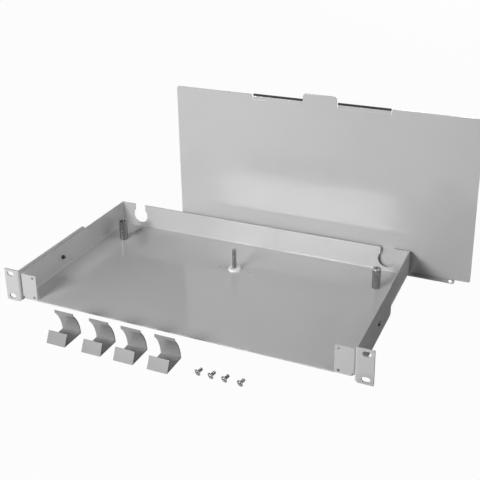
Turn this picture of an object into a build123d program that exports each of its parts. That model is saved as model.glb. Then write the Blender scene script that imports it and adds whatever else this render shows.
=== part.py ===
from build123d import *
from math import atan2, cos, degrees, radians, sin, tan
import os

# Fibre splice and patch tray, one rack unit high, for 19 inch racks.
# The cover is off and stands behind the tray, the guides and screws lie in front.
# Origin: centre of the four rack slots, on the front face of the ears.
# +X to the viewer's right, +Y to the rear of the rack, +Z up.

# Rack standard
overall_width = 482.6
ear_height = 43.6
slot_inset = 8.75
slot_pitch_z = 31.75
slot_length = 10.0
slot_width = 6.8

# Tray
ear_reach = 21.8
tray_height = 35.5
tray_rear = 248.0
tray_front = 3.0
tray_sheet = 1.5
tray_bend = 2.0
flange_width = 23.3
flange_bend = 0.8
flange_lift = 0.4
flange_hole_inset = 4.8
flange_hole_pitch = 27.5
flange_hole_radius = 1.75
flange_clearance = 0.3

# Cable entries in the rear wall
entry_inset = 30.5
entry_radius = 11.75
entry_neck = 17.2
entry_floor_height = 6.8

# Rack brackets
bracket_sheet = 2.0
bracket_bend = 0.8
bracket_gap = 0.3
leg_length = 146.0
leg_top_step = 0.5
leg_bottom_step = 1.65
leg_corner = 3.0
leg_hole_start = 37.0
leg_hole_pitch = 26.0
leg_hole_count = 3
leg_end_hole_inset = 5.0
leg_pin_hole_y = 76.0
leg_pin_hole_drop = 10.4
leg_pin_hole_radius = 1.2
wall_peg_clearance = 0.15
wall_peg_shortfall = 0.4

# Pan head screws with a cross recess, M4, longer for the posts than in the loose set
screw_radius = 2.0
screw_length = 8.0
head_radius = 4.0
head_height = 2.6
cross_length = 4.6
cross_width = 0.9
cross_depth = 1.4
loose_screw_length = 6.0
hole_clearance = 0.25
thread_clearance = 0.05

# The same in M3, with a hexagon nut, for the brackets
fixing_radius = 1.5
fixing_length = 8.0
fixing_head_radius = 2.8
fixing_head_height = 2.0
fixing_cross_length = 3.2
fixing_cross_width = 0.7
fixing_cross_depth = 1.0
nut_flats = 5.5
nut_height = 2.4

# Centre stud, its thread's run-out pressed into the floor, and its nylon nut
stud_y = 172.0
stud_radius = 2.9
stud_root_radius = 3.1
stud_root_above_nut = 0.3
stud_height = 30.7
stud_tip = 0.8
stud_nut_radius = 8.2
stud_nut_height = 3.2
stud_nut_edge = 0.5
stud_nut_clearance = 0.1
locator_offset = 21.8
locator_radius = 1.6

# Cable posts in front of the entries
post_y = 197.5
post_height = 28.0
post_turn = 30.0
post_flats = 10.0
post_edge = 0.5
post_bore_radius = 1.65
post_bore_depth = 12.0

# Cover panel, standing on its long edge
cover_width = 419.0
cover_height = 222.0
cover_sheet = 1.0
cover_right = 298.7
cover_gap = 4.5
cover_corner = 3.0
cover_tab_width = 46.8
cover_tab_height = 8.5
cover_tab_corner = 4.5
notch_width = 73.0
notch_depth = 7.4
notch_slope = 1.2
lip_height = 7.0
lip_inset = 20.0
lip_joggle = 1.2
lip_corner = 3.0
lip_hole_inset = 25.5
lip_hole_radius = 2.4
lip_hole_drop = 3.8

# Joggled tongues in the notches, with rubber edge strips
tongue_side_gap = 0.8
tongue_offset = 2.4
tongue_rise = 3.2
tongue_height = 6.7
seal_height = 1.8
seal_wall = 0.7
seal_fit = 0.05

# Cable guides
guide_sheet = 1.2
guide_width = 25.5
guide_depth = 33.0
guide_front_height = 13.6
guide_front_lean = 26.0
guide_back_height = 29.6
guide_back_lean = 42.5
guide_lip = 3.2
guide_lip_lean = 10.0
guide_front_y = -65.3
guide_places = (-120.2, -72.0, -29.4, 14.4)

# Loose screws, heads forward and a little to the left
loose_screw_y = -54.0
loose_screw_turn = 25.0
loose_screw_places = (60.0, 75.8, 92.1, 110.6)

# Levels and planes that follow from the sizes above
slot_pitch_x = overall_width - 2 * slot_inset
tray_width = overall_width - 2 * ear_reach
entry_offset = tray_width / 2 - entry_inset
ground = -ear_height / 2
tray_bottom = -tray_height / 2
tray_top = tray_height / 2
floor_top = tray_bottom + tray_sheet
wall_outer = tray_width / 2
wall_inner = wall_outer - tray_sheet
outer_bend = tray_bend + tray_sheet
flange_outer_bend = flange_bend + tray_sheet
flange_inner = wall_outer - flange_width
leg_inner = wall_outer + bracket_gap
leg_outer = leg_inner + bracket_sheet
leg_top = ear_height / 2 - leg_top_step
leg_bottom = ground + leg_bottom_step
fixing_hole_radius = fixing_radius + hole_clearance
post_hole_radius = screw_radius + hole_clearance
leg_hole_rows = [leg_hole_start + leg_hole_pitch * i for i in range(leg_hole_count)]
fixing_row = leg_hole_rows[-1]
leg_holes = [*leg_hole_rows, leg_length - leg_end_hole_inset]
cover_front = tray_rear + cover_gap
cover_bottom = ground + lip_height
cover_left = cover_right - cover_width
cover_middle = cover_right - cover_width / 2
cover_top = cover_bottom + cover_height
over = 1.0
strip_slack = 0.01


def y_cylinder(x, y, z, radius, length):
    """Cylinder along Y whose middle is at the point given."""
    return Pos(x, y, z) * Rot(90, 0, 0) * Cylinder(radius, length)


def x_cylinder(x, y, z, radius, length):
    """Cylinder along X whose middle is at the point given."""
    return Pos(x, y, z) * Rot(0, 90, 0) * Cylinder(radius, length)


def z_cylinder(x, y, z, radius, height):
    """Cylinder that stands on the point given."""
    base = (Align.CENTER, Align.CENTER, Align.MIN)
    return Pos(x, y, z) * Cylinder(radius, height, align=base)


def block(x0, x1, y0, y1, z0, z1):
    """Box between two limits on each axis."""
    centre = Pos((x0 + x1) / 2, (y0 + y1) / 2, (z0 + z1) / 2)
    return centre * Box(x1 - x0, y1 - y0, z1 - z0)


def strip(points, sheet, outer_radius, side):
    """Section of a folded strip: its outer line is given, the sheet lies on one side."""
    line = FilletPolyline(*points, radius=outer_radius)
    return make_face(offset(line, amount=sheet, side=side, closed=True).edges())


def cross_recess(length, width, depth, top):
    """Two crossed slots below the level given."""
    place = Pos(0, 0, top - depth / 2)
    return place * Box(length, width, depth) + place * Box(width, length, depth)


def pan_screw(length):
    """M4 screw: bearing face at z = 0, head above, shank below."""
    head = z_cylinder(0, 0, 0, head_radius, head_height)
    shank = z_cylinder(0, 0, -length, screw_radius, length)
    return head + shank - cross_recess(cross_length, cross_width, cross_depth, head_height)


def fixing_screw():
    """M3 screw in the same position."""
    head = z_cylinder(0, 0, 0, fixing_head_radius, fixing_head_height)
    shank = z_cylinder(0, 0, -fixing_length, fixing_radius, fixing_length)
    recess = cross_recess(fixing_cross_length, fixing_cross_width, fixing_cross_depth, fixing_head_height)
    return head + shank - recess


def tray_pan():
    """Floor, side walls and rear wall, folded from one sheet and open at the front."""
    outer = block(-wall_outer, wall_outer, tray_front, tray_rear, tray_bottom, tray_top)
    rear = tray_rear - tray_sheet
    inner = block(-wall_inner, wall_inner, tray_front - over, rear, floor_top, tray_top + over)

    def folds(solid):
        low = solid.edges().group_by(Axis.Z)[0]
        front = low.group_by(Axis.Y)[0]
        return [edge for edge in low if edge not in front]

    outer = fillet(folds(outer), outer_bend)
    inner = fillet(folds(inner), tray_bend)
    return outer - inner


def front_flange():
    """Right front flange, folded inwards from the side wall."""
    points = [
        (wall_outer, tray_front + flange_outer_bend),
        (wall_outer, tray_front),
        (flange_inner, tray_front),
    ]
    section = strip(points, tray_sheet, flange_outer_bend - strip_slack, Side.RIGHT)
    flange = extrude(Pos(0, 0, tray_bottom + flange_lift) * section, tray_height - flange_lift)
    relief_x = wall_outer - outer_bend
    relief_y = tray_front + 2 * outer_bend
    flange -= block(relief_x, wall_outer + over, 0, relief_y, ground, tray_bottom + outer_bend)
    hole_x = flange_inner + flange_hole_inset
    for side in (-1, 1):
        hole_z = side * flange_hole_pitch / 2
        flange -= y_cylinder(hole_x, tray_front, hole_z, flange_hole_radius, 4 * tray_sheet)
    return flange


def entry_cut(side):
    """Keyhole for cables, open at the top of the rear wall."""
    centre_z = tray_bottom + entry_floor_height + entry_radius
    centre_x = side * entry_offset
    cut = y_cylinder(centre_x, tray_rear, centre_z, entry_radius, 4 * tray_sheet)
    half = entry_neck / 2
    reach = 2 * tray_sheet
    neck = block(-half, half, tray_rear - reach, tray_rear + reach, centre_z, tray_top + over)
    return cut + Pos(centre_x, 0, 0) * neck


def wall_peg(side):
    """Peg of the side wall that keeps the bracket from turning on its screw."""
    root = wall_outer - tray_sheet / 2
    length = leg_outer - wall_peg_shortfall - root
    radius = leg_pin_hole_radius - wall_peg_clearance
    return x_cylinder(side * (root + length / 2), leg_pin_hole_y, -leg_pin_hole_drop, radius, length)


def floor_hole(x, y, radius):
    """Cutter for a round hole through the floor."""
    return z_cylinder(x, y, tray_bottom - over, radius, tray_sheet + 2 * over)


def make_tray():
    tray = tray_pan()
    corner = wall_outer - flange_outer_bend
    behind = tray_front + tray_sheet + flange_clearance
    bend_end = tray_front + flange_outer_bend
    flange = front_flange()
    for side in (-1, 1):
        near = side * (flange_inner - flange_clearance)
        far = side * (wall_outer + over)
        x0, x1 = sorted((near, far))
        tray -= block(x0, x1, tray_front - over, behind, ground, tray_top + over)
        x0, x1 = sorted((side * corner, far))
        tray -= block(x0, x1, tray_front - over, bend_end, ground, tray_top + over)
        tray += flange if side > 0 else mirror(flange, Plane.YZ)
        tray -= entry_cut(side)
        tray -= x_cylinder(side * wall_outer, fixing_row, 0, fixing_hole_radius, 4 * tray_sheet)
        tray += wall_peg(side)
        tray -= floor_hole(side * locator_offset, stud_y, locator_radius)
        tray -= floor_hole(side * entry_offset, post_y, post_hole_radius)
    return tray - floor_hole(0, stud_y, stud_root_radius)


def make_bracket():
    """Right rack bracket: ear and leg folded from one strip."""
    bend = bracket_bend + bracket_sheet
    ear_end = overall_width / 2
    points = [(ear_end, 0), (leg_inner, 0), (leg_inner, leg_length)]
    section = strip(points, bracket_sheet, bend, Side.RIGHT)
    bracket = extrude(Pos(0, 0, ground) * section, ear_height)
    leg_x0 = leg_inner - over
    leg_x1 = leg_outer + over
    rear = leg_length + over
    bracket -= block(leg_x0, leg_x1, bend, rear, leg_top, ear_height)
    bracket -= block(leg_x0, leg_x1, -over, rear, ground - over, leg_bottom)
    end = bracket.edges().filter_by(Axis.X).group_by(Axis.Y)[-1]
    bracket = fillet(end, leg_corner)
    for side in (-1, 1):
        place = Pos(slot_pitch_x / 2, 0, side * slot_pitch_z / 2)
        slot = place * Rot(90, 0, 0) * SlotOverall(slot_length, slot_width)
        bracket -= extrude(slot, 2 * bracket_sheet, both=True)
    for row in leg_holes:
        bracket -= x_cylinder(leg_outer, row, 0, fixing_hole_radius, 4 * bracket_sheet)
    pin = (leg_outer, leg_pin_hole_y, -leg_pin_hole_drop)
    bracket -= x_cylinder(*pin, leg_pin_hole_radius, 4 * bracket_sheet)
    return bracket


def make_bracket_screw():
    """Right bracket's screw, head outside."""
    return Pos(leg_outer, fixing_row, 0) * Rot(0, 90, 0) * fixing_screw()


def make_wall_nut():
    """Right wall's nut, on its inner face."""
    corner = nut_flats / 2 / cos(radians(30))
    section = RegularPolygon(corner, 6) - Circle(fixing_radius + thread_clearance)
    nut = extrude(section, nut_height)
    return Pos(wall_inner - nut_height, fixing_row, 0) * Rot(0, 90, 0) * nut


def make_stud():
    """Threaded stud, its thicker root pressed into the floor."""
    root_top = floor_top + stud_nut_clearance + stud_nut_height + stud_root_above_nut
    root = z_cylinder(0, stud_y, tray_bottom, stud_root_radius, root_top - tray_bottom)
    thread = z_cylinder(0, stud_y, tray_bottom, stud_radius, tray_sheet + stud_height)
    thread = chamfer(thread.edges().group_by(Axis.Z)[-1], stud_tip)
    return root + thread


def make_stud_nut():
    """Flat round nylon nut, screwed down to the floor."""
    base = floor_top + stud_nut_clearance
    nut = z_cylinder(0, stud_y, base, stud_nut_radius, stud_nut_height)
    nut = chamfer(nut.edges().group_by(Axis.Z)[-1], stud_nut_edge)
    bore = stud_root_radius + stud_nut_clearance
    return nut - z_cylinder(0, stud_y, base - over, bore, stud_nut_height + 2 * over)


def make_post(side):
    """Six-sided cable post, bored at both ends for the same screw."""
    x = side * entry_offset
    corner = post_flats / 2 / cos(radians(30))
    post = Pos(x, post_y, floor_top) * extrude(RegularPolygon(corner, 6, rotation=post_turn), post_height)
    post = chamfer(post.edges().group_by(Axis.Z)[-1], post_edge)
    bore_end = floor_top + post_height - post_bore_depth
    top_bore = z_cylinder(x, post_y, bore_end, post_bore_radius, post_bore_depth)
    low_bore = z_cylinder(x, post_y, floor_top, screw_radius + thread_clearance, screw_length)
    return post - top_bore - low_bore


def make_post_screw(side):
    """Screw that holds a post from under the floor."""
    return Pos(side * entry_offset, post_y, tray_bottom) * Rot(180, 0, 0) * pan_screw(screw_length)


def cover_outline():
    """Upper and side edges of the panel, with the tab and the two notches."""
    half = cover_width / 2
    tab = cover_tab_width / 2
    notch_end = tab + notch_width
    panel = Rectangle(cover_width, cover_height)
    panel = fillet(panel.vertices(), cover_corner)
    top = cover_height / 2
    for side in (-1, 1):
        notch = Polyline(
            (side * tab, top - notch_depth),
            (side * (notch_end - notch_slope), top - notch_depth),
            (side * notch_end, top + over),
            (side * tab, top + over),
            close=True,
        )
        panel -= make_face(notch)
    tab_low = top - notch_depth - cover_tab_corner
    tab_top = top + cover_tab_height
    ear = Pos(0, (tab_low + tab_top) / 2) * Rectangle(cover_tab_width, tab_top - tab_low)
    ear = fillet(ear.vertices().group_by(Axis.Y)[-1], cover_tab_corner)
    return panel + ear


def cover_lip():
    """Joggled lip along the lower edge, one sheet behind the panel."""
    rear = cover_front + cover_sheet
    points = [
        (rear, cover_bottom + over),
        (rear, cover_bottom),
        (rear + lip_joggle, cover_bottom - lip_joggle),
        (rear + lip_joggle, ground),
    ]
    line = Polyline(*points)
    section = make_face(offset(line, amount=cover_sheet, side=Side.RIGHT, closed=True).edges())
    length = cover_width - 2 * lip_inset
    lip = extrude(Plane.YZ * section, length)
    lip = Pos(cover_left + lip_inset, 0, 0) * lip
    ends = lip.edges().filter_by(Axis.Y).group_by(Axis.Z)[0]
    lip = fillet(ends, lip_corner)
    for x in (cover_left + lip_hole_inset, cover_right - lip_hole_inset):
        lip -= y_cylinder(x, rear, cover_bottom - lip_hole_drop, lip_hole_radius, 8 * cover_sheet)
    return lip


def tongue_line():
    """Joggle of a tongue, from the notch floor to its free edge."""
    rear = cover_front + cover_sheet
    foot = cover_top - notch_depth
    return [
        (rear, foot - over),
        (rear, foot),
        (rear + tongue_offset, foot + tongue_rise),
        (rear + tongue_offset, foot + tongue_height),
    ]


def tongue_span():
    """Length and centre offset of a tongue in its notch."""
    length = notch_width - notch_slope - 2 * tongue_side_gap
    centre = cover_tab_width / 2 + tongue_side_gap + length / 2
    return length, centre


def make_cover():
    plate = extrude(Plane.XZ * cover_outline(), -cover_sheet)
    cover = Pos(cover_middle, cover_front, cover_bottom + cover_height / 2) * plate
    cover += cover_lip()
    line = Polyline(*tongue_line())
    section = make_face(offset(line, amount=cover_sheet, side=Side.LEFT, closed=True).edges())
    length, centre = tongue_span()
    for side in (-1, 1):
        start = cover_middle + side * centre - length / 2
        cover += Pos(start, 0, 0) * extrude(Plane.YZ * section, length)
    return cover


def make_seal(side):
    """Rubber edge strip pushed over a tongue."""
    length, centre = tongue_span()
    rear = cover_front + cover_sheet + tongue_offset
    front = rear - cover_sheet
    tip = cover_top - notch_depth + tongue_height
    low = tip - seal_height
    start = cover_middle + side * centre - length / 2
    wall = seal_wall + seal_fit
    seal = block(start, start + length, front - wall, rear + wall, low, tip + wall)
    seal = fillet(seal.edges().filter_by(Axis.X).group_by(Axis.Z)[-1], seal_wall)
    near = front - seal_fit
    far = rear + seal_fit
    return seal - block(start - over, start + length + over, near, far, low - over, tip + seal_fit)


def guide_section():
    """Side view of a guide: leaning front, flat foot, back that curves forward and turned-up lip."""
    radius = guide_back_height / sin(radians(guide_back_lean))

    def on_arc(lean):
        angle = radians(lean)
        return (guide_depth - radius * (1 - cos(angle)), radius * sin(angle))

    front_top = (guide_front_height * tan(radians(guide_front_lean)), guide_front_height)
    back_end = on_arc(guide_back_lean)
    lip_angle = radians(guide_lip_lean)
    lip_end = (back_end[0] - guide_lip * sin(lip_angle), back_end[1] + guide_lip * cos(lip_angle))
    foot = Polyline(front_top, (0, 0), (guide_depth, 0))
    back = ThreePointArc((guide_depth, 0), on_arc(guide_back_lean / 2), back_end)
    lip = Line(back_end, lip_end)
    outline = Wire([*foot.edges(), back.edge(), lip.edge()])
    return make_face(offset(outline, amount=guide_sheet, side=Side.LEFT, closed=True).edges())


def make_guide(x):
    guide = extrude(Plane.YZ * guide_section(), guide_width)
    return Pos(x - guide_width / 2, guide_front_y, ground) * guide


def make_loose_screw(x):
    """Screw lying on its head's rim and its tip."""
    tilt = degrees(atan2(head_radius - screw_radius, loose_screw_length))
    lying = Rot(0, 0, -loose_screw_turn) * Rot(90 + tilt, 0, 0) * pan_screw(loose_screw_length)
    return Pos(x, loose_screw_y, ground - lying.bounding_box().min.Z) * lying


def mirrored(shape):
    return mirror(shape, Plane.YZ)


bracket = make_bracket()
bracket_screw = make_bracket_screw()
wall_nut = make_wall_nut()
nodes = {
    "tray_body": make_tray(),
    "rack_bracket_left": mirrored(bracket),
    "rack_bracket_right": bracket,
    "bracket_screws_left": mirrored(bracket_screw),
    "bracket_screws_right": bracket_screw,
    "wall_nuts_left": mirrored(wall_nut),
    "wall_nuts_right": wall_nut,
    "centre_stud": make_stud(),
    "stud_nut": make_stud_nut(),
    "cover_panel": make_cover(),
}
for name, side in (("left", -1), ("right", 1)):
    nodes[f"cable_post_{name}"] = make_post(side)
    nodes[f"post_screw_{name}"] = make_post_screw(side)
    nodes[f"cover_seal_{name}"] = make_seal(side)
for number, x in enumerate(guide_places, 1):
    nodes[f"cable_guide_{number}"] = make_guide(x)
for number, x in enumerate(loose_screw_places, 1):
    nodes[f"loose_screw_{number}"] = make_loose_screw(x)

os.makedirs("parts", exist_ok=True)
for name, shape in nodes.items():
    export_step(shape, f"parts/{name}.step")
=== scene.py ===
from math import atan2, cos, degrees, pi, radians, sin, tau

import bmesh
import bpy
from mathutils import Matrix, Vector


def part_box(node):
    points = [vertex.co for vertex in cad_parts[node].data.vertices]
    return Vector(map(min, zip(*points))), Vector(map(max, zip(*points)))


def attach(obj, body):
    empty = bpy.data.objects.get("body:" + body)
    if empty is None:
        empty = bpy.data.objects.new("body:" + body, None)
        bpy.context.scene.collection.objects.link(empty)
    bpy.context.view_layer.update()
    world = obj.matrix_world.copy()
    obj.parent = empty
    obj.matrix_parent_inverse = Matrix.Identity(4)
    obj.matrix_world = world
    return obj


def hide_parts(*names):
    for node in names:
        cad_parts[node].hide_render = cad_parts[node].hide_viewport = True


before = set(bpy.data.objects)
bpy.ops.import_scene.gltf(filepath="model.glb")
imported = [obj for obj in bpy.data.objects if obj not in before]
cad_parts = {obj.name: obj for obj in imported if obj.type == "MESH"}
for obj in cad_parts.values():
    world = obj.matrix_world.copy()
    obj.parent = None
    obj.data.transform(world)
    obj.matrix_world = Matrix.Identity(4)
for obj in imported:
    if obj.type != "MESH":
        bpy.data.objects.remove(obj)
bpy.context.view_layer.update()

MM = 0.001

# Camera: place and aim in metres and degrees, lens in pixels of the 480 by 480 picture
image_size = 480
focal_pixels = 828.6
principal_pixel = (250.0, 160.0)
sensor_width = 36.0
camera_place = Vector((0.4227, -0.7282, 0.5169))
camera_yaw = 23.84
camera_pitch = -20.68
camera_roll = -0.73

# Studio: the floor's grey level, its share of plain white, half its width, and what the lamps aim at
floor_level = 120
floor_glow_share = 0.97
floor_half_width = 6.0
lamp_target = Vector((0.0, 0.12, 0.0))

# Lamps: azimuth (0 in front, negative to the left), elevation, distance, width and height, power
lamps = {
    "key": (-18, 23.5, 1.4, (0.55, 0.28), 15.4),
    "side": (-75, 16, 1.5, (0.5, 0.5), 3.5),
    "low_fill": (90, 20, 1.9, (1.8, 0.8), 7.1),
    "high_fill": (90, 55, 1.9, (1.6, 1.0), 6.6),
    "back": (180, 8, 3.2, (1.0, 0.4), 36.0),
}

# Cards that only mirror rays see: grey level of the dark ones, then places and sizes in metres
card_level = 40
shadow_card_gap = 0.001
shadow_card_overlap = 0.02
shadow_card_width = 0.16
shadow_card_fade = 0.12
back_card_place = 0.6
back_card_left = -2.5
back_card_right = -0.15
back_card_top = 1.8
room_card_place = -2.4
room_card_reach = 2.6
room_card_top = 2.4

# Card in the cover's tone over the rear wall, in place of the shade of a wider gap
gap_card_level = 186
gap_card_height = 0.021

# Paints: grey level, roughness and edge rounding in millimetres
sheet_look = (204, 0.12, 0.45)
guide_look = (154, 0.3, 0.5)
# Grey level of the painted shade on the guides' cut ends, near black
cut_end_shade_level = 36

# Plated metals: grey level, roughness, scale of the turning marks, edge rounding in millimetres
zinc_look = (150, 0.18, 2200.0, 0.2)
# Painted shade: a darker copy of the zinc plate for the nuts and fixed screws, standing for the darker
# surroundings they mirror
shaded_zinc_look = (96, 0.22, 2200.0, 0.2)
nickel_look = (140, 0.07, 1800.0, 0.2)
post_look = (166, 0.05, 1800.0, 1.5)

# Screws, in millimetres: radius, length, head radius, head height, thread pitch,
# cross length, cross width and cross depth
m4_long = (2.0, 8.0, 4.0, 2.6, 0.7, 4.6, 0.9, 1.4)
m4_short = (2.0, 6.0, 4.0, 2.6, 0.7, 4.6, 0.9, 1.4)
m3 = (1.5, 8.0, 2.8, 2.0, 0.5, 3.2, 0.7, 1.0)
head_edge = 0.15
head_rim_share = 0.4
crown_steps = 8
crown_power = 0.7
recess_taper = 0.45
thread_depth_share = 0.6
screw_sides = 28

# Turn of each kind of screw about its own axis, and of the loose ones on the ground, in degrees
loose_screw_turn = 25.0
loose_screw_roll = 23
bracket_screw_roll = 35
post_screw_roll = 20

# Stud, in millimetres
stud_pitch = 1.0
stud_thread_radius = 2.9
stud_root_above_nut = 0.3
stud_tip = 0.8
stud_sides = 40

# Edges sharper than this many degrees stay sharp
sharp_angle = 38

# Level of the ground
lowest = min(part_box(name)[0].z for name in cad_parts)


def make_camera():
    yaw, pitch, roll = (radians(a) for a in (camera_yaw, camera_pitch, camera_roll))
    ahead = Vector((-sin(yaw) * cos(pitch), cos(yaw) * cos(pitch), sin(pitch)))
    level = Vector((cos(yaw), sin(yaw), 0))
    over = level.cross(ahead)
    right = cos(roll) * level + sin(roll) * over
    up = -sin(roll) * level + cos(roll) * over
    data = bpy.data.cameras.new("camera")
    data.sensor_width = sensor_width
    data.lens = focal_pixels / image_size * sensor_width
    data.shift_x = (image_size / 2 - principal_pixel[0]) / image_size
    data.shift_y = (principal_pixel[1] - image_size / 2) / image_size
    camera = bpy.data.objects.new("camera", data)
    turn = Matrix((right, up, -ahead)).transposed().to_4x4()
    camera.matrix_world = Matrix.Translation(camera_place) @ turn
    bpy.context.scene.collection.objects.link(camera)
    bpy.context.scene.camera = camera


class Nodes:
    """A material's node tree, with short calls to add and link nodes."""

    def __init__(self, name):
        self.material = bpy.data.materials.new(name)
        self.material.use_nodes = True
        self.tree = self.material.node_tree
        self.shader = self.tree.nodes["Principled BSDF"]
        self.output = self.tree.nodes["Material Output"]

    def add(self, kind, **values):
        node = self.tree.nodes.new(kind)
        for key, value in values.items():
            setattr(node, key, value)
        return node

    def link(self, a, b):
        self.tree.links.new(a, b)

    def set(self, **values):
        for key, value in values.items():
            self.shader.inputs[key.replace("_", " ")].default_value = value

    def place(self):
        return self.add("ShaderNodeTexCoord").outputs["Object"]

    def noise(self, scale, detail=3.0, rough=0.5):
        node = self.add("ShaderNodeTexNoise")
        self.link(self.place(), node.inputs["Vector"])
        node.inputs["Scale"].default_value = scale
        node.inputs["Detail"].default_value = detail
        node.inputs["Roughness"].default_value = rough
        return node.outputs["Fac"]

    def ramp(self, value, low, high, a, b):
        """Maps a value from low..high to a..b."""
        node = self.add("ShaderNodeMapRange")
        self.link(value, node.inputs["Value"])
        for key, number in (("From Min", low), ("From Max", high), ("To Min", a), ("To Max", b)):
            node.inputs[key].default_value = number
        return node.outputs["Result"]

    def mix(self, factor, a, b):
        node = self.add("ShaderNodeMix", data_type="RGBA")
        self.link(factor, node.inputs["Factor"])
        for socket, colour in ((node.inputs[6], a), (node.inputs[7], b)):
            if isinstance(colour, tuple):
                socket.default_value = (*colour, 1)
            else:
                self.link(colour, socket)
        return node.outputs[2]

    def bump(self, height, strength, distance):
        node = self.add("ShaderNodeBump")
        node.inputs["Strength"].default_value = strength
        node.inputs["Distance"].default_value = distance
        self.link(height, node.inputs["Height"])
        self.link(node.outputs["Normal"], self.shader.inputs["Normal"])
        return node

    def soften(self, radius, bump):
        """Rounds sharp edges to the eye by a radius in millimetres."""
        soft = self.add("ShaderNodeBevel", samples=4)
        soft.inputs["Radius"].default_value = radius * MM
        self.link(soft.outputs["Normal"], bump.inputs["Normal"])


def grey(level, warm=0.0):
    """Linear colour of a grey given as it looks, from 0 to 255."""
    def linear(v):
        v = max(0.0, min(1.0, v / 255))
        return v / 12.92 if v <= 0.04045 else ((v + 0.055) / 1.055) ** 2.4

    return (linear(level + warm), linear(level), linear(level - warm))


def powder_paint(m, level, gloss, edge):
    """Semi-gloss powder paint: fine orange peel, faint clouding, sheet edges softened by a radius."""
    cloud = m.noise(9.0, 2.0)
    speck = m.noise(900.0, 2.0, 0.7)
    base = m.mix(m.ramp(cloud, 0.3, 0.7, 0.0, 1.0), grey(level - 2), grey(level + 2))
    spots = m.ramp(speck, 0.70, 0.78, 0.0, 0.25)
    sheen = m.ramp(m.noise(40.0, 3.0), 0.3, 0.7, gloss - 0.02, gloss + 0.03)
    m.link(sheen, m.shader.inputs["Roughness"])
    m.set(IOR=1.5)
    m.soften(edge, m.bump(m.noise(1400.0, 2.0, 0.6), 0.05, 0.00008))
    return m.mix(spots, base, grey(level - 24))


def sheet_paint():
    m = Nodes("paint_light_grey")
    m.link(powder_paint(m, *sheet_look), m.shader.inputs["Base Color"])
    return m.material


def guide_coat():
    """Darker coat of the cable guides, with painted shade on their cut ends: near black where a face
    points along X.
    """
    m = Nodes("paint_guide_grey")
    coat = powder_paint(m, *guide_look)
    split = m.add("ShaderNodeSeparateXYZ")
    m.link(m.add("ShaderNodeTexCoord").outputs["Normal"], split.inputs["Vector"])
    side = m.add("ShaderNodeMath", operation="ABSOLUTE")
    m.link(split.outputs["X"], side.inputs[0])
    # Painted shade: faces pointing along X, the cut ends of the guides, turn near black
    end_shade = m.ramp(side.outputs[0], 0.8, 0.9, 0.0, 1.0)
    m.link(m.mix(end_shade, coat, grey(cut_end_shade_level)), m.shader.inputs["Base Color"])
    return m.material


def bright_metal(name, level, rough, grain, edge):
    """Plated metal with fine turning marks, its edges softened by a radius."""
    m = Nodes(name)
    m.set(Metallic=1.0)
    tone = m.ramp(m.noise(160.0, 3.0), 0.3, 0.7, 0.0, 1.0)
    m.link(m.mix(tone, grey(level - 10), grey(level + 6)), m.shader.inputs["Base Color"])
    m.link(m.ramp(m.noise(500.0, 2.0), 0.3, 0.7, rough, rough + 0.10), m.shader.inputs["Roughness"])
    m.soften(edge, m.bump(m.noise(grain, 2.0), 0.15, 0.00005))
    return m.material


def nylon(name):
    m = Nodes(name)
    m.link(m.mix(m.noise(120.0), grey(248, 1), grey(254, 1)), m.shader.inputs["Base Color"])
    m.set(Roughness=0.38)
    m.soften(0.4, m.bump(m.noise(2000.0), 0.2, 0.00008))
    return m.material


def rubber(name):
    m = Nodes(name)
    m.link(m.mix(m.noise(300.0), grey(24), grey(44)), m.shader.inputs["Base Color"])
    m.set(Roughness=0.72)
    m.bump(m.noise(1800.0, 4.0), 0.5, 0.0002)
    return m.material


def seen_directly(tree):
    """1 for rays from the camera, from a mirror or through glass, 0 for light that lands."""
    path = tree.nodes.new("ShaderNodeLightPath")
    seen = path.outputs["Is Camera Ray"]
    for ray in ("Is Glossy Ray", "Is Transmission Ray"):
        either = tree.nodes.new("ShaderNodeMath")
        either.operation = "MAXIMUM"
        tree.links.new(seen, either.inputs[0])
        tree.links.new(path.outputs[ray], either.inputs[1])
        seen = either.outputs[0]
    return seen


def make_floor():
    """White studio floor that keeps a faint shadow under the object."""
    mesh = bpy.data.meshes.new("floor")
    reach = floor_half_width
    corners = [(-reach, -reach, 0), (reach, -reach, 0), (reach, reach, 0), (-reach, reach, 0)]
    mesh.from_pydata(corners, [], [(0, 1, 2, 3)])
    floor = bpy.data.objects.new("floor", mesh)
    floor.location.z = lowest
    bpy.context.scene.collection.objects.link(floor)
    m = Nodes("floor_white")
    tone = m.mix(m.noise(3.0), grey(floor_level - 2), grey(floor_level + 2))
    m.link(tone, m.shader.inputs["Base Color"])
    m.set(Roughness=0.9)
    glow = m.add("ShaderNodeEmission")
    share = m.add("ShaderNodeMath", operation="MULTIPLY")
    share.inputs[1].default_value = floor_glow_share
    m.link(seen_directly(m.tree), share.inputs[0])
    blend = m.add("ShaderNodeMixShader")
    m.link(share.outputs[0], blend.inputs["Fac"])
    m.link(m.shader.outputs["BSDF"], blend.inputs[1])
    m.link(glow.outputs["Emission"], blend.inputs[2])
    m.link(blend.outputs["Shader"], m.output.inputs["Surface"])
    mesh.materials.append(m.material)


def make_card(name, corners, fade=None, level=card_level):
    """Studio card that only mirror rays see, solid or fading out along X between two places."""
    mesh = bpy.data.meshes.new(name)
    mesh.from_pydata(corners, [], [(0, 1, 2, 3)])
    card = bpy.data.objects.new(name, mesh)
    bpy.context.scene.collection.objects.link(card)
    card.visible_camera = card.visible_diffuse = card.visible_shadow = False
    card.visible_transmission = card.visible_volume_scatter = False
    m = Nodes(name)
    m.set(Roughness=1.0, Specular_IOR_Level=0.0)
    m.shader.inputs["Base Color"].default_value = (*grey(level), 1)
    if fade:
        split = m.add("ShaderNodeSeparateXYZ")
        m.link(m.place(), split.inputs["Vector"])
        m.link(m.ramp(split.outputs["X"], *fade, 1.0, 0.0), m.shader.inputs["Alpha"])
    mesh.materials.append(m.material)


def upright(y, left, right, low, high):
    return [(left, y, low), (right, y, low), (right, y, high), (left, y, high)]


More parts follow.
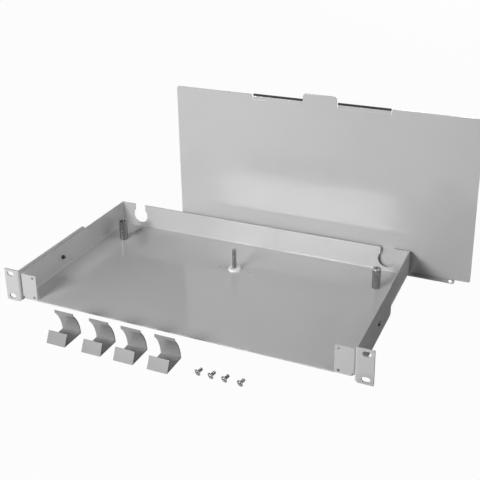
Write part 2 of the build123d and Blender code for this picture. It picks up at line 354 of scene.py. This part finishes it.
def make_cards():
    """Dark ground in the key's shadow, shade over the rear wall, a dark backdrop and a dark room."""
    low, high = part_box("tray_body")
    near = high.x + shadow_card_gap
    far = near + shadow_card_width
    front = low.y - shadow_card_overlap
    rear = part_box("cover_panel")[0].y
    level = lowest + shadow_card_gap
    ground = [(near, front, level), (far, front, level), (far, rear, level), (near, rear, level)]
    make_card("shadow_card", ground, (far - shadow_card_fade, far))
    shade = upright((high.y + rear) / 2, low.x, high.x, high.z, high.z + gap_card_height)
    make_card("gap_card", shade, level=gap_card_level)
    backdrop = upright(back_card_place, back_card_left, back_card_right, lowest, back_card_top)
    make_card("back_card", backdrop)
    room = upright(room_card_place, -room_card_reach, room_card_reach, lowest, room_card_top)
    make_card("room_card", room)


def make_world():
    """White where it is seen, no light where it lands."""
    world = bpy.data.worlds.new("studio")
    bpy.context.scene.world = world
    world.use_nodes = True
    tree = world.node_tree
    back = tree.nodes["Background"]
    back.inputs["Color"].default_value = (1, 1, 1, 1)
    tree.links.new(seen_directly(tree), back.inputs["Strength"])


def make_lamps():
    """Key and a side lamp from the left, low and high fills from the right, and one for the backs."""
    for name, (azimuth, elevation, distance, size, power) in lamps.items():
        turn, tilt = radians(azimuth), radians(elevation)
        way = Vector((sin(turn) * cos(tilt), -cos(turn) * cos(tilt), sin(tilt)))
        place = lamp_target + distance * way
        data = bpy.data.lights.new(name, "AREA")
        data.shape = "RECTANGLE"
        data.size, data.size_y = size
        data.energy = power
        light = bpy.data.objects.new(name, data)
        light.location = place
        light.rotation_euler = (lamp_target - place).to_track_quat("-Z", "Y").to_euler()
        bpy.context.scene.collection.objects.link(light)


def thread(pitch, depth, low, high):
    """Depth of a helical groove at an angle and a height, fading out at both ends."""
    def groove(angle, height):
        ridge = abs(2 * ((height / pitch - angle / tau) % 1) - 1)
        shape = max(0.0, min(1.0, 1.2 - 1.4 * ridge))
        ends = max(0.0, min(1.0, (height - low) / pitch, (high - height) / pitch))
        return depth * shape * ends

    return groove


def span(low, high, step):
    """Heights from low to high about a step apart."""
    count = max(1, round((high - low) / step))
    return [low + (high - low) * i / count for i in range(count + 1)]


def turned(profile, steps, groove=None):
    """Closed mesh turned about Z from (radius, height) points in millimetres, from pole to pole."""
    mesh = bmesh.new()
    rings = []
    for radius, height in profile:
        ring = []
        for i in range(steps if radius else 1):
            angle = tau * i / steps
            out = radius - (groove(angle, height) if groove and radius else 0)
            ring.append(mesh.verts.new((out * cos(angle) * MM, out * sin(angle) * MM, height * MM)))
        rings.append(ring)
    for low, high in zip(rings, rings[1:]):
        for i in range(steps):
            j = (i + 1) % steps
            corners = (low[i % len(low)], low[j % len(low)], high[j % len(high)], high[i % len(high)])
            mesh.faces.new(dict.fromkeys(corners))
    return mesh


def to_object(name, shape, material):
    """Object from a bmesh, smooth but for its sharp edges."""
    mesh = bpy.data.meshes.new(name)
    shape.to_mesh(mesh)
    shape.free()
    mesh.shade_smooth()
    mesh.set_sharp_from_angle(angle=radians(sharp_angle))
    mesh.materials.append(material)
    piece = bpy.data.objects.new(name, mesh)
    bpy.context.scene.collection.objects.link(piece)
    return piece


def cross_cutter(length, width, depth, top):
    """Tapered cross that cuts a screw's recess."""
    half = width / 2
    reach = length / 2
    quarter = [(reach, -half), (reach, half), (half, half)]
    outline = []
    for turn in range(4):
        angle = turn * pi / 2
        for x, y in quarter:
            outline.append((x * cos(angle) - y * sin(angle), x * sin(angle) + y * cos(angle)))
    mesh = bmesh.new()
    levels = ((recess_taper, top - depth), (1.0, top), (1.0, top + 1))
    loops = [[mesh.verts.new((x * s * MM, y * s * MM, z * MM)) for x, y in outline] for s, z in levels]
    mesh.faces.new(loops[0][::-1])
    mesh.faces.new(loops[-1])
    for low, high in zip(loops, loops[1:]):
        for i in range(len(outline)):
            j = (i + 1) % len(outline)
            mesh.faces.new((low[i], low[j], high[j], high[i]))
    return mesh


def cut(piece, cutter):
    """Takes one object out of another, for good."""
    change = piece.modifiers.new("recess", "BOOLEAN")
    change.object = cutter
    change.solver = "EXACT"
    graph = bpy.context.evaluated_depsgraph_get()
    result = bpy.data.meshes.new_from_object(piece.evaluated_get(graph))
    piece.modifiers.clear()
    piece.data = result
    bpy.data.objects.remove(cutter)


def screw_profile(radius, length, head_radius, head_height, pitch):
    """Tip, threaded shank and pan head with a rounded crown, bearing face at height 0."""
    tip = pitch / 2
    rim = head_rim_share * head_height
    points = [(0, -length), (radius - tip, -length)]
    points += [(radius, height) for height in span(tip - length, 0, pitch / 8)]
    points += [(head_radius - head_edge, 0), (head_radius, head_edge), (head_radius, rim)]
    for i in range(1, crown_steps):
        angle = i / crown_steps * pi / 2
        radius_here = head_radius * cos(angle) ** crown_power
        points.append((radius_here, rim + (head_height - rim) * sin(angle)))
    return [*points, (0, head_height)]


def make_screw(name, sizes, material):
    radius, length, head_radius, head_height, pitch, cross_length, cross_width, cross_depth = sizes
    groove = thread(pitch, thread_depth_share * pitch, -length, 0)
    profile = screw_profile(radius, length, head_radius, head_height, pitch)
    shape = turned(profile, screw_sides, lambda angle, z: groove(angle, z) if z < 0 else 0)
    screw = to_object(name, shape, material)
    cross = cross_cutter(cross_length, cross_width, cross_depth, head_height)
    cut(screw, to_object("cutter", cross, material))
    return screw


def seat(piece, node, turn):
    """Turns a piece, then lays its box over the box of the node that it replaces."""
    piece.data.transform(turn.to_4x4())
    corners = [v.co for v in piece.data.vertices]
    middle = Vector([(min(c[i] for c in corners) + max(c[i] for c in corners)) / 2 for i in range(3)])
    low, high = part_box(node)
    piece.data.transform(Matrix.Translation((low + high) / 2 - middle))


def add_piece(piece, node, body):
    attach(piece, body)
    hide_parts(node)


def turned_by(axis, degrees):
    return Matrix.Rotation(radians(degrees), 3, axis)


def make_screws(zinc, nickel):
    radius, length, head_radius = m4_short[:3]
    tilt = degrees(atan2(head_radius - radius, length))
    lying = turned_by("Z", -loose_screw_turn) @ turned_by("X", 90 + tilt)
    for i in range(1, 5):
        piece = make_screw(f"screw_{i}", m4_short, nickel)
        seat(piece, f"loose_screw_{i}", lying @ turned_by("Z", loose_screw_roll * i))
        add_piece(piece, f"loose_screw_{i}", f"screw_{i}")
    for side, sign in (("left", -1), ("right", 1)):
        # Bracket and post screws take the first metal passed in, the zinc darkened as painted shade
        piece = make_screw(f"bracket_screw_{side}", m3, zinc)
        sideways = turned_by("Y", 90 * sign) @ turned_by("Z", bracket_screw_roll)
        seat(piece, f"bracket_screws_{side}", sideways)
        add_piece(piece, f"bracket_screws_{side}", "tray")
        piece = make_screw(f"post_fixing_{side}", m4_long, zinc)
        seat(piece, f"post_screw_{side}", turned_by("X", 180) @ turned_by("Z", post_screw_roll))
        add_piece(piece, f"post_screw_{side}", "tray")


def make_stud(zinc):
    """Threaded stud with a plain root under its nut."""
    low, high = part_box("centre_stud")
    middle = (low + high) / 2
    root_radius = (high.x - low.x) / 2 / MM
    bottom = low.z / MM
    top = high.z / MM
    root_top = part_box("stud_nut")[1].z / MM + stud_root_above_nut
    points = [(0, bottom), (root_radius, bottom)]
    points += [(root_radius, root_top), (stud_thread_radius, root_top)]
    heights = span(root_top + stud_pitch / 8, top - stud_tip, stud_pitch / 8)
    points += [(stud_thread_radius, z) for z in heights]
    points += [(stud_thread_radius - stud_tip, top), (0, top)]
    groove = thread(stud_pitch, thread_depth_share * stud_pitch, root_top, top + stud_pitch)
    thread_end = top - stud_tip / 2
    shape = turned(points, stud_sides, lambda angle, z: groove(angle, z) if z < thread_end else 0)
    piece = to_object("stud_thread", shape, zinc)
    piece.data.transform(Matrix.Translation((middle.x, middle.y, 0)))
    add_piece(piece, "centre_stud", "tray")


def paint_node(name, material):
    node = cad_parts[name]
    node.data.materials.clear()
    node.data.materials.append(material)


def dress():
    paint = sheet_paint()
    guide_paint = guide_coat()
    zinc = bright_metal("zinc_plate", *zinc_look)
    # Darker copy of the zinc as painted shade, for the nuts and the fixed screws
    shaded_zinc = bright_metal("shaded_zinc_plate", *shaded_zinc_look)
    nickel = bright_metal("nickel_plate", *nickel_look)
    chrome = bright_metal("post_plate", *post_look)
    white = nylon("nylon_white")
    black = rubber("rubber_black")
    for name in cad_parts:
        if name.startswith("cable_guide"):
            paint_node(name, guide_paint)
        elif name.startswith("cable_post"):
            paint_node(name, chrome)
        elif name.startswith("cover_seal"):
            paint_node(name, black)
        elif name == "stud_nut":
            paint_node(name, white)
        elif name in ("tray_body", "cover_panel") or name.startswith("rack_bracket"):
            paint_node(name, paint)
        elif name.startswith("wall_nuts"):
            paint_node(name, shaded_zinc)
        else:
            paint_node(name, zinc)
    make_screws(shaded_zinc, nickel)
    make_stud(zinc)


make_camera()
make_world()
make_lamps()
make_floor()
make_cards()
dress()

bpy.context.scene.view_settings.view_transform = "Standard"
